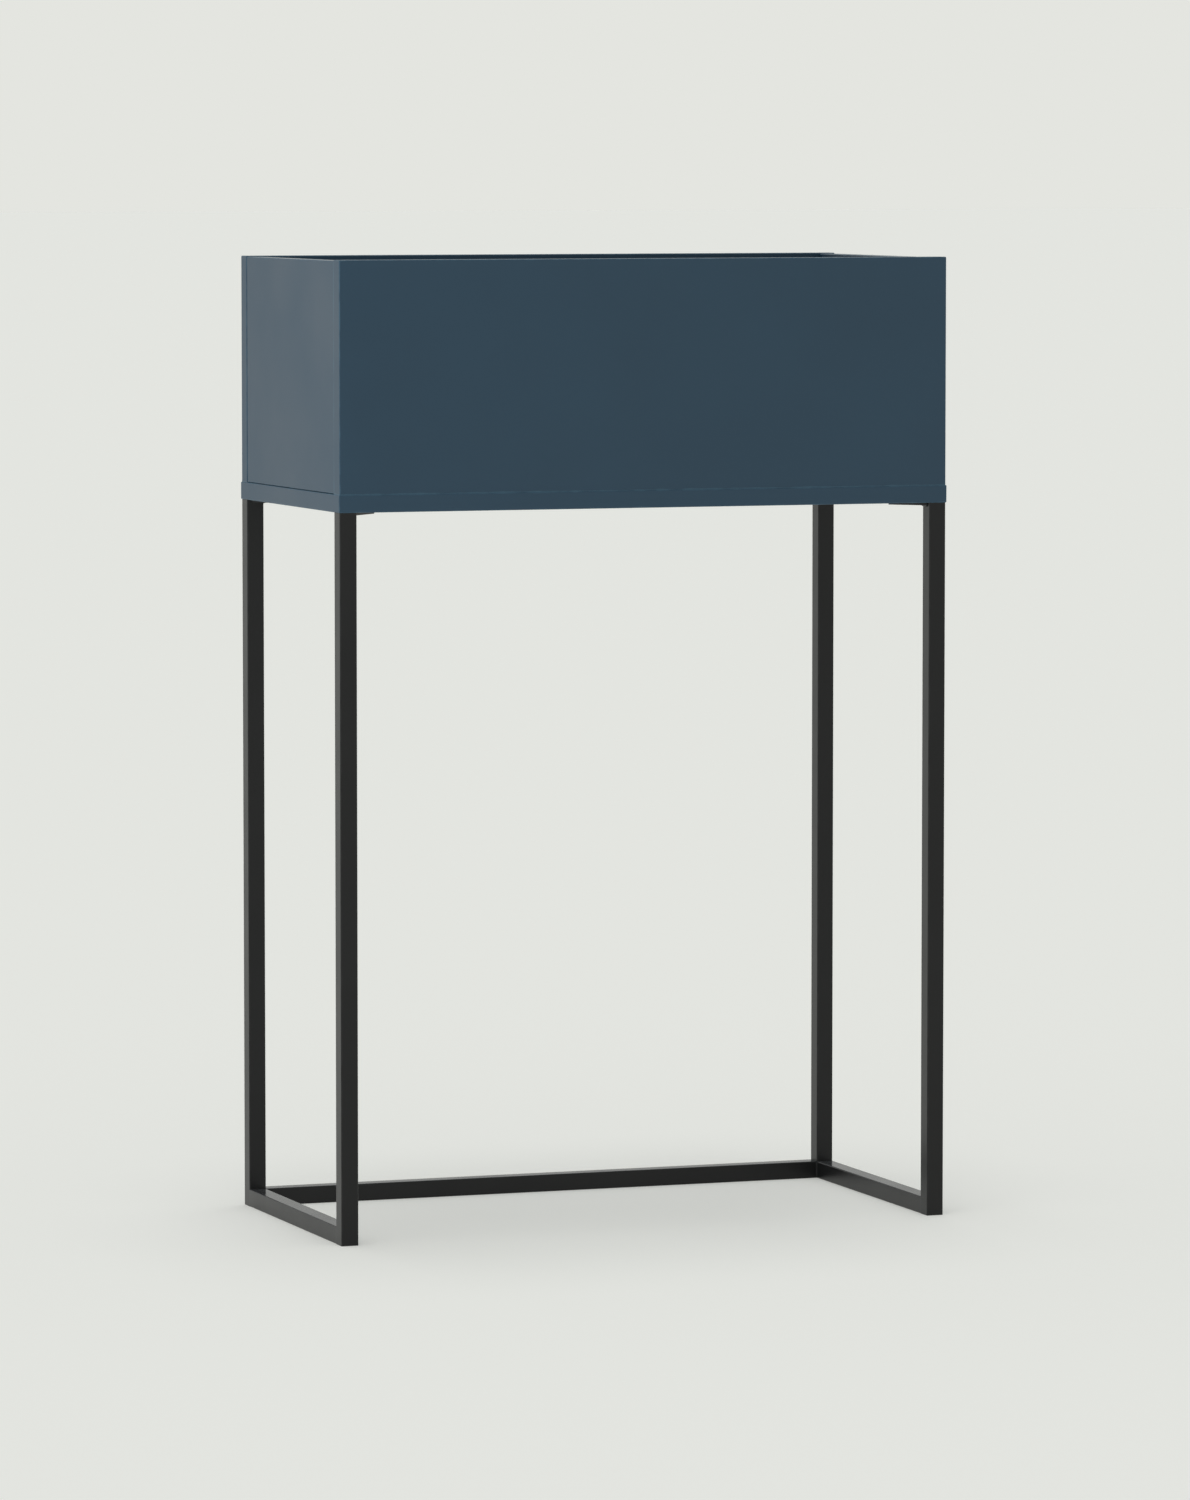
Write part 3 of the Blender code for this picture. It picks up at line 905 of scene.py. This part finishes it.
def square_tube(width, length, matrix, start_sides=(), end_sides=()):
    """Open square tube on local Z = 0, with its cut ends just broken. On the sides given by their
    directions, an end runs on over its neighbour's rounded corner."""
    outer = width / 2
    inner = outer - TUBE_WALL
    edge = TUBE_END_EDGE
    sections = (
        (outer - edge, TUBE_ROUND - edge, 0),
        (outer, TUBE_ROUND, edge),
        (outer, TUBE_ROUND, length - edge),
        (outer - edge, TUBE_ROUND - edge, length),
        (inner, TUBE_INNER_ROUND, length),
        (inner, TUBE_INNER_ROUND, 0),
    )
    flat = outer - TUBE_ROUND
    rings = []
    for half, radius, z in sections:
        ring = []
        at_start = z < length / 2
        for x, y in rounded_ring(half, half, radius, TUBE_CORNER_STEPS):
            bite = 0
            for side_x, side_y in start_sides if at_start else end_sides:
                towards = (x * side_x + y * side_y) / flat
                bite = max(bite, WELD_BITE * min(1, (towards + 1) / 2))
            ring.append((x, y, z - bite if at_start else z + bite))
        rings.append(ring)
    return loft(rings, matrix, joined_round=True)


base_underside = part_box("base_board")[0].z
CORNERS = ("front_left", "front_right", "rear_right", "rear_left")
for corner in CORNERS:
    low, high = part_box("leg_" + corner)
    high.z = base_underside
    shape = square_tube(high.x - low.x, high.z - low.z, Matrix.Translation(foot_of("leg_" + corner)))
    leg = make_object("leg_tube_" + corner, shape, coated("leg_coat_" + corner, COAT, low, high))
    shade(leg)
    fit(leg, "planter", "stand_powder_coat", "leg_" + corner)

both_sides = ((-1, 0), (1, 0))
for side, axis, first, last, start_sides, end_sides in (
    ("left", "X", "leg_rear_left", "leg_front_left", ((-1, 0),), both_sides),
    ("right", "X", "leg_rear_right", "leg_front_right", ((1, 0),), both_sides),
    ("rear", "Y", "leg_rear_left", "leg_rear_right", ((0, 1),), ((0, 1),)),
):
    low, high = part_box("bottom_bar_" + side)
    width = high.z - low.z
    middle = (low + high) / 2
    turn = Matrix.Rotation(math.radians(90), 4, axis)
    if axis == "X":
        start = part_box(first)[0].y
        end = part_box(last)[1].y
        matrix = Matrix.Translation((middle.x, start, middle.z)) @ turn
    else:
        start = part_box(first)[1].x
        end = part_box(last)[0].x
        matrix = Matrix.Translation((start, middle.y, middle.z)) @ turn
    shape = square_tube(width, abs(end - start), matrix, start_sides, end_sides)
    bar = make_object("floor_bar_" + side, shape, coated("bar_coat_" + side, COAT, low, high))
    shade(bar)
    fit(bar, "planter", "stand_powder_coat", "bottom_bar_" + side)

# A weld's bead, with the ripple of its runs, along a seam
round_beads, given, result = new_group(
    "GeometryNodeTree",
    "round_beads",
    [
        ("Seams", "Geometry", None),
        ("Radius", "Float", 0.0014),
        ("Ripple", "Float", 0.0016),
        ("Ripple depth", "Float", 0.2),
        ("Material", "Material", None),
    ],
    [("Mesh", "Geometry")],
)
tree = round_beads
seams = add_node(tree, "GeometryNodeMeshToCurve", {"Mesh": given["Seams"]}).outputs[0]
step = calc(tree, "DIVIDE", given["Ripple"], ROWS_IN_A_RIPPLE)
inputs = {"Curve": seams, "Length": step}
fine = add_node(tree, "GeometryNodeResampleCurve", inputs, mode="LENGTH").outputs[0]
along = add_node(tree, "GeometryNodeSplineParameter").outputs
wave = calc(tree, "PINGPONG", calc(tree, "DIVIDE", along["Length"], given["Ripple"]), 0.5)
dip = calc(tree, "MULTIPLY", calc(tree, "SUBTRACT", 0.5, wave), given["Ripple depth"])
from_ends = calc(tree, "PINGPONG", along["Factor"], 0.5)
end_taper = ranged(tree, from_ends, 0.0, BEAD_END, BEAD_END_LEFT, 1.0)
thickness = calc(tree, "MULTIPLY", calc(tree, "SUBTRACT", 1.0, dip), end_taper)
inputs = {"Resolution": BEAD_SIDES, "Radius": given["Radius"]}
circle = add_node(tree, "GeometryNodeCurvePrimitiveCircle", inputs).outputs[0]
inputs = {"Curve": fine, "Profile Curve": circle, "Scale": thickness, "Fill Caps": True}
end_tree(tree, given, result, add_node(tree, "GeometryNodeCurveToMesh", inputs).outputs[0])

weld_points = []
weld_edges = []
for corner in ("rear_left", "rear_right"):
    low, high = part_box("leg_" + corner)
    inner_x = min(low.x, high.x, key=abs)
    weld_edges.append((len(weld_points), len(weld_points) + 1))
    for z in (CORNER_WELD_RADIUS, width - CORNER_WELD_RADIUS):
        weld_points.append((inner_x, low.y, z))


def weld_box():
    """The box round every weld so far."""
    low = Vector([min(point[i] for point in weld_points) for i in range(3)])
    high = Vector([max(point[i] for point in weld_points) for i in range(3)])
    return low, high


weld_sizes = {
    "Radius": CORNER_WELD_RADIUS,
    "Ripple": WELD_RIPPLE,
    "Ripple depth": WELD_RIPPLE_DEPTH,
    "Material": coated("bar_weld_coat", COAT, *weld_box()),
}
bar_welds = grow("bar_welds", round_beads, weld_sizes, weld_points, weld_edges)
fit(bar_welds, "planter", "stand_powder_coat")


# ---- Tabs ----
# 3 mm flat steel, 20 mm wide, notched round each leg's top and welded to it, with two screw holes.
# They point at the middle of the base board and are coated with the stand.
TAB_WIDTH = 0.020
TAB_CORNER_ROUND = 0.0015
TAB_CORNER_STEPS = 3
TAB_EDGE = 0.0003
TAB_EDGE_STEPS = 2
LEG_GAP = 0.0003
WELD_RADIUS = 0.0014


def rounded_outline(points, steps):
    """A closed outline of (x, y, radius) corners, each rounded by an arc, as (x, y) points."""
    outline = []
    for i, (x, y, radius) in enumerate(points):
        here = Vector((x, y))
        if radius == 0:
            outline.append((x, y))
            continue
        before = (Vector(points[i - 1][:2]) - here).normalized()
        after = (Vector(points[(i + 1) % len(points)][:2]) - here).normalized()
        half = before.angle(after) / 2
        centre = here + (before + after).normalized() * radius / math.sin(half)
        first = (here + before * radius / math.tan(half) - centre).normalized()
        last = (here + after * radius / math.tan(half) - centre).normalized()
        for step in range(steps + 1):
            outline.append(tuple(centre + first.slerp(last, step / steps) * radius))
    return outline


weld_points = []
weld_edges = []
for corner in CORNERS:
    low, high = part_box("mounting_tab_" + corner)
    leg_low, leg_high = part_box("leg_" + corner)
    leg_middle = (leg_low + leg_high) / 2
    inwards = Vector((-math.copysign(1, leg_middle.x), -math.copysign(1, leg_middle.y), 0))
    outer = Vector((leg_middle.x, leg_middle.y, 0)) - inwards * (leg_high.x - leg_low.x) / 2
    face = leg_high.x - leg_low.x + LEG_GAP
    across = TAB_WIDTH / 2 * math.sqrt(2)
    shift = TAB_WIDTH / 2 / math.sqrt(2)
    far = max(abs(edge - outer.x) for edge in (low.x, high.x)) - shift
    outline = rounded_outline(
        (
            (face, face - across, 0),
            (far + shift, far - shift, TAB_CORNER_ROUND),
            (far - shift, far + shift, TAB_CORNER_ROUND),
            (face - across, face, 0),
            (face, face, 0),
        ),
        TAB_CORNER_STEPS,
    )
    local = Matrix(((inwards.x, 0, 0, outer.x), (0, inwards.y, 0, outer.y), (0, 0, 1, 0), (0, 0, 0, 1)))
    rings = [[(x, y, z) for x, y in outline] for z in (low.z, high.z)]
    plate = loft(rings, local)
    bmesh.ops.recalc_face_normals(plate, faces=plate.faces)
    rims = []
    for line in plate.edges:
        if abs(line.verts[0].co.z - line.verts[1].co.z) < TOUCHING:
            rims.append(line)
    bmesh.ops.bevel(
        plate, geom=rims, offset=TAB_EDGE, segments=TAB_EDGE_STEPS, profile=0.5, affect="EDGES"
    )
    tab = make_object("tab_plate_" + corner, plate, coated("tab_coat_" + corner, COAT, low, high))
    cutter = bmesh.new()
    add_screw_holes(cutter, low, high)
    drill(tab, cutter)
    shade(tab)
    fit(tab, "planter", "stand_powder_coat", "mounting_tab_" + corner)
    for a, b in (((face, face - across), (face, face)), ((face - across, face), (face, face))):
        weld_edges.append((len(weld_points), len(weld_points) + 1))
        for x, y in (a, b):
            weld_points.append(local @ Vector((x, y, low.z)))

weld_sizes["Radius"] = WELD_RADIUS
weld_sizes["Material"] = coated("tab_weld_coat", COAT, *weld_box())
tab_welds = grow("tab_welds", round_beads, weld_sizes, weld_points, weld_edges)
fit(tab_welds, "planter", "stand_powder_coat")


# ---- Leg plugs ----
# Black moulded plastic, pushed into the legs' lower ends, their soles level with the steel. The
# stem's fins grip the tube, and the sole has a shallow dimple where the plastic was let in.
PLASTIC = (0.0190, 0.0190, 0.0195, 1.0)
PLASTIC_PALE = (0.0250, 0.0250, 0.0255, 1.0)
PLASTIC_GLOSS = (0.46, 0.56)
PLASTIC_CLOUDS = 12.0
PLASTIC_IOR = 1.49
PLUG_GRAIN = 1500.0
PLUG_GRAIN_DEPTH = 0.00003
PLUG_SOLE = 0.003
PLUG_SOLE_EDGE = 0.0004
PLUG_STEM_INSET = 0.0015
PLUG_FINS_AT = (0.0070, 0.0120)
PLUG_FIN_HEIGHT = 0.001
PLUG_DIMPLE = 0.0012
PLUG_DIMPLE_DEPTH = 0.0004
PLUG_CORNER_STEPS = 2


def moulded_plastic(name, grain_scale, grain_depth, dust):
    """Black plastic from a spark-eroded mould, with faint flow clouds and a little dust."""
    material, tree, shader, place = new_material(name)
    grain, clouds = surface(tree, place, grain_scale, PLASTIC_CLOUDS)
    colour = blend_colours(tree, clouds, PLASTIC, PLASTIC_PALE)
    colour = blend_colours(tree, dust_and_highlight_mask(tree, place, dust), colour, COAT["dust_and_highlight"])
    finish_shader(tree, shader, colour, clouds, PLASTIC_GLOSS, grain, grain_depth)
    shader.inputs["IOR"].default_value = PLASTIC_IOR
    return material


plug_plastic = moulded_plastic("plug_plastic", PLUG_GRAIN, PLUG_GRAIN_DEPTH, 0.0)
for corner in CORNERS:
    low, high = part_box("leg_plug_" + corner)
    full = (high.x - low.x) / 2
    stem = full - PLUG_STEM_INSET
    sections = [
        (PLUG_DIMPLE / 2, PLUG_DIMPLE_DEPTH),
        (PLUG_DIMPLE, PLUG_DIMPLE_DEPTH),
        (PLUG_DIMPLE + PLUG_DIMPLE_DEPTH, 0),
        (full - PLUG_SOLE_EDGE, 0),
        (full, PLUG_SOLE_EDGE),
        (full, PLUG_SOLE),
        (stem, PLUG_SOLE),
    ]
    for z in PLUG_FINS_AT:
        sections += [(stem, z), (full, z + PLUG_FIN_HEIGHT), (stem, z + 2 * PLUG_FIN_HEIGHT)]
    sections.append((stem, high.z - low.z))
    rings = []
    for half, z in sections:
        ring = rounded_ring(half, half, min(TUBE_INNER_ROUND, half / 2), PLUG_CORNER_STEPS)
        rings.append([(x, y, z) for x, y in ring])
    foot = Matrix.Translation(foot_of("leg_plug_" + corner))
    plug = make_object("foot_plug_" + corner, loft(rings, foot), plug_plastic)
    shade(plug)
    fit(plug, "planter", "plug_plastic", "leg_plug_" + corner)


# ---- Lift-out tub ----
# One moulding of black plastic with a fine grain: drafted walls, a rounded rim with a turned-down
# skirt that fingers reach under, a ledge inside for the soil line, gussets under the rim and raised
# bars in the floor. It stands loose on the base board.
TUB_WALL = 0.0025
TUB_LIP = 0.008
TUB_LIP_DROP = 0.010
TUB_DRAFT = 0.010
TUB_CORNER = 0.025
TUB_FOOT_ROUND = 0.005
TUB_RIM_ROUND = 0.0012
TUB_INNER_ROUND = 0.006
TUB_SOIL_LINE = 0.030  # below the rim
TUB_LEDGE = 0.0008
TUB_CORNER_STEPS = 10
TUB_ROUND_STEPS = 4
TUB_FLOOR_INSET = 0.015  # from the wall's foot to the flat floor
TUB_GRAIN = 700.0
TUB_GRAIN_DEPTH = 0.00006
TUB_DUST = 0.10
GUSSET_PITCH = 0.060
GUSSET_THICKNESS = 0.0016
GUSSET_HEIGHT = 0.032
FLOOR_BAR_PITCH = 0.030
FLOOR_BAR_HEIGHT = 0.0020
FLOOR_BAR_END_GAP = 0.022
FLOOR_BAR_ROWS = 0.030  # six rows in this length, and no ripple

tub_low, tub_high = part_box("liner_tub")
tub_half_x = (tub_high.x - tub_low.x) / 2
tub_half_y = (tub_high.y - tub_low.y) / 2
tub_foot = tub_low.z
tub_rim = tub_high.z
wall_foot = TUB_LIP + TUB_DRAFT
wall_rise = tub_rim - tub_foot


def wall_inset(z):
    """How far the outer wall is in from the rim's outer edge at a height."""
    return TUB_LIP + TUB_DRAFT * (tub_rim - z) / wall_rise


soil_line = tub_rim - TUB_SOIL_LINE
floor_top = tub_foot + TUB_WALL
profile = rounded_outline(
    (
        (wall_foot + TUB_FLOOR_INSET, tub_foot, 0),
        (wall_foot, tub_foot, TUB_FOOT_ROUND),
        (wall_inset(tub_rim - TUB_WALL), tub_rim - TUB_WALL, TUB_RIM_ROUND),
        (TUB_WALL, tub_rim - TUB_WALL, TUB_RIM_ROUND),
        (TUB_WALL, tub_rim - TUB_LIP_DROP, TUB_RIM_ROUND / 2),
        (0, tub_rim - TUB_LIP_DROP, TUB_RIM_ROUND / 2),
        (0, tub_rim, TUB_RIM_ROUND),
        (TUB_LIP + TUB_WALL, tub_rim, TUB_RIM_ROUND),
        (wall_inset(soil_line) + TUB_WALL, soil_line, TUB_LEDGE / 4),
        (wall_inset(soil_line) + TUB_WALL + TUB_LEDGE, soil_line - TUB_LEDGE, TUB_LEDGE / 4),
        (wall_foot + TUB_WALL + TUB_LEDGE, floor_top, TUB_INNER_ROUND),
        (wall_foot + TUB_FLOOR_INSET, floor_top, 0),
    ),
    TUB_ROUND_STEPS,
)
rim_corner = TUB_CORNER + TUB_LIP
rings = []
for inset, z in profile:
    ring = rounded_ring(tub_half_x - inset, tub_half_y - inset, rim_corner - inset, TUB_CORNER_STEPS)
    rings.append([(x, y, z) for x, y in ring])
tub_middle = middle_of("liner_tub")
tub_middle.z = 0
tub_plastic = moulded_plastic("tub_plastic", TUB_GRAIN, TUB_GRAIN_DEPTH, TUB_DUST)
tub = make_object("tub_shell", loft(rings, Matrix.Translation(tub_middle)), tub_plastic)
shade(tub)
fit(tub, "liner", "liner_plastic", "liner_tub")

# Small wedges between the skirt and the wall, all round the straight sides
tub_gussets, given, result = new_group(
    "GeometryNodeTree",
    "tub_gussets",
    [
        ("Places", "Geometry", None),
        ("Thickness", "Float", 0.0016),
        ("Depth", "Float", 0.006),
        ("Height", "Float", 0.032),
        ("Foot share", "Float", 0.15),
        ("Lean", "Float", 0.04),
        ("Material", "Material", None),
    ],
    [("Mesh", "Geometry")],
)
tree = tub_gussets
size = combine(tree, given["Thickness"], given["Depth"], given["Height"])
inputs = {"Size": size, "Vertices X": 2, "Vertices Y": 4, "Vertices Z": 9}
block = add_node(tree, "GeometryNodeMeshCube", inputs).outputs["Mesh"]
x, y, z = split(tree, add_node(tree, "GeometryNodeInputPosition").outputs[0])
half_height = calc(tree, "DIVIDE", given["Height"], 2.0)
down = calc(tree, "SUBTRACT", z, half_height)
rise = ranged(tree, down, calc(tree, "MULTIPLY", given["Height"], -1.0), 0.0, 0.0, 1.0)
out = calc(tree, "ADD", y, calc(tree, "DIVIDE", given["Depth"], 2.0))
curve = ranged(tree, calc(tree, "MULTIPLY", rise, rise), 0.0, 1.0, given["Foot share"], 1.0)
lean = calc(tree, "MULTIPLY", down, given["Lean"])
leaning = calc(tree, "ADD", calc(tree, "MULTIPLY", out, curve), lean)
wedge = move_to(tree, block, x, leaning, down)
turn = add_node(tree, "GeometryNodeInputNamedAttribute", {"Name": "turn"}, data_type="FLOAT").outputs[0]
end_with_placed(tree, given, result, wedge, combine(tree, z=turn))

SUNK = 0.0003  # how far a gusset or a bar runs into the wall it stands on
gusset_top = tub_rim - TUB_WALL + SUNK
wall_x = tub_half_x - TUB_LIP - SUNK
wall_y = tub_half_y - TUB_LIP - SUNK
places = []
turns = []
for half_length, wall, along_x in ((tub_half_x, wall_y, True), (tub_half_y, wall_x, False)):
    straight = half_length - TUB_CORNER - TUB_LIP
    count = int(2 * straight / GUSSET_PITCH) + 1
    for i in range(count):
        along = (i - (count - 1) / 2) * GUSSET_PITCH
        for side in (-1, 1):
            if along_x:
                places.append((along, side * wall, gusset_top))
                turns.append(0.0 if side > 0 else math.pi)
            else:
                places.append((side * wall, along, gusset_top))
                turns.append(-side * math.pi / 2)
gusset_sizes = {
    "Thickness": GUSSET_THICKNESS,
    "Depth": TUB_LIP - TUB_WALL + 2 * SUNK,
    "Height": GUSSET_HEIGHT,
    "Lean": TUB_DRAFT / wall_rise,
    "Material": tub_plastic,
}
gussets = grow("tub_gussets", tub_gussets, gusset_sizes, places, turns=turns)
fit(gussets, "liner", "liner_plastic")

floor_half_x = tub_half_x - wall_foot - TUB_WALL - FLOOR_BAR_END_GAP
floor_half_y = tub_half_y - wall_foot - TUB_WALL - FLOOR_BAR_END_GAP
bar_count = 2 * int(floor_half_x / FLOOR_BAR_PITCH) + 1
bar_points = []
bar_edges = []
for i in range(bar_count):
    x = (i - (bar_count - 1) / 2) * FLOOR_BAR_PITCH
    bar_points += [(x, -floor_half_y, floor_top), (x, floor_half_y, floor_top)]
    bar_edges.append((2 * i, 2 * i + 1))
bar_sizes = {
    "Radius": FLOOR_BAR_HEIGHT,
    "Ripple": FLOOR_BAR_ROWS,
    "Ripple depth": 0.0,
    "Material": tub_plastic,
}
floor_bars = grow("tub_floor_bars", round_beads, bar_sizes, bar_points, bar_edges)
fit(floor_bars, "liner", "liner_plastic")


low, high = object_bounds()
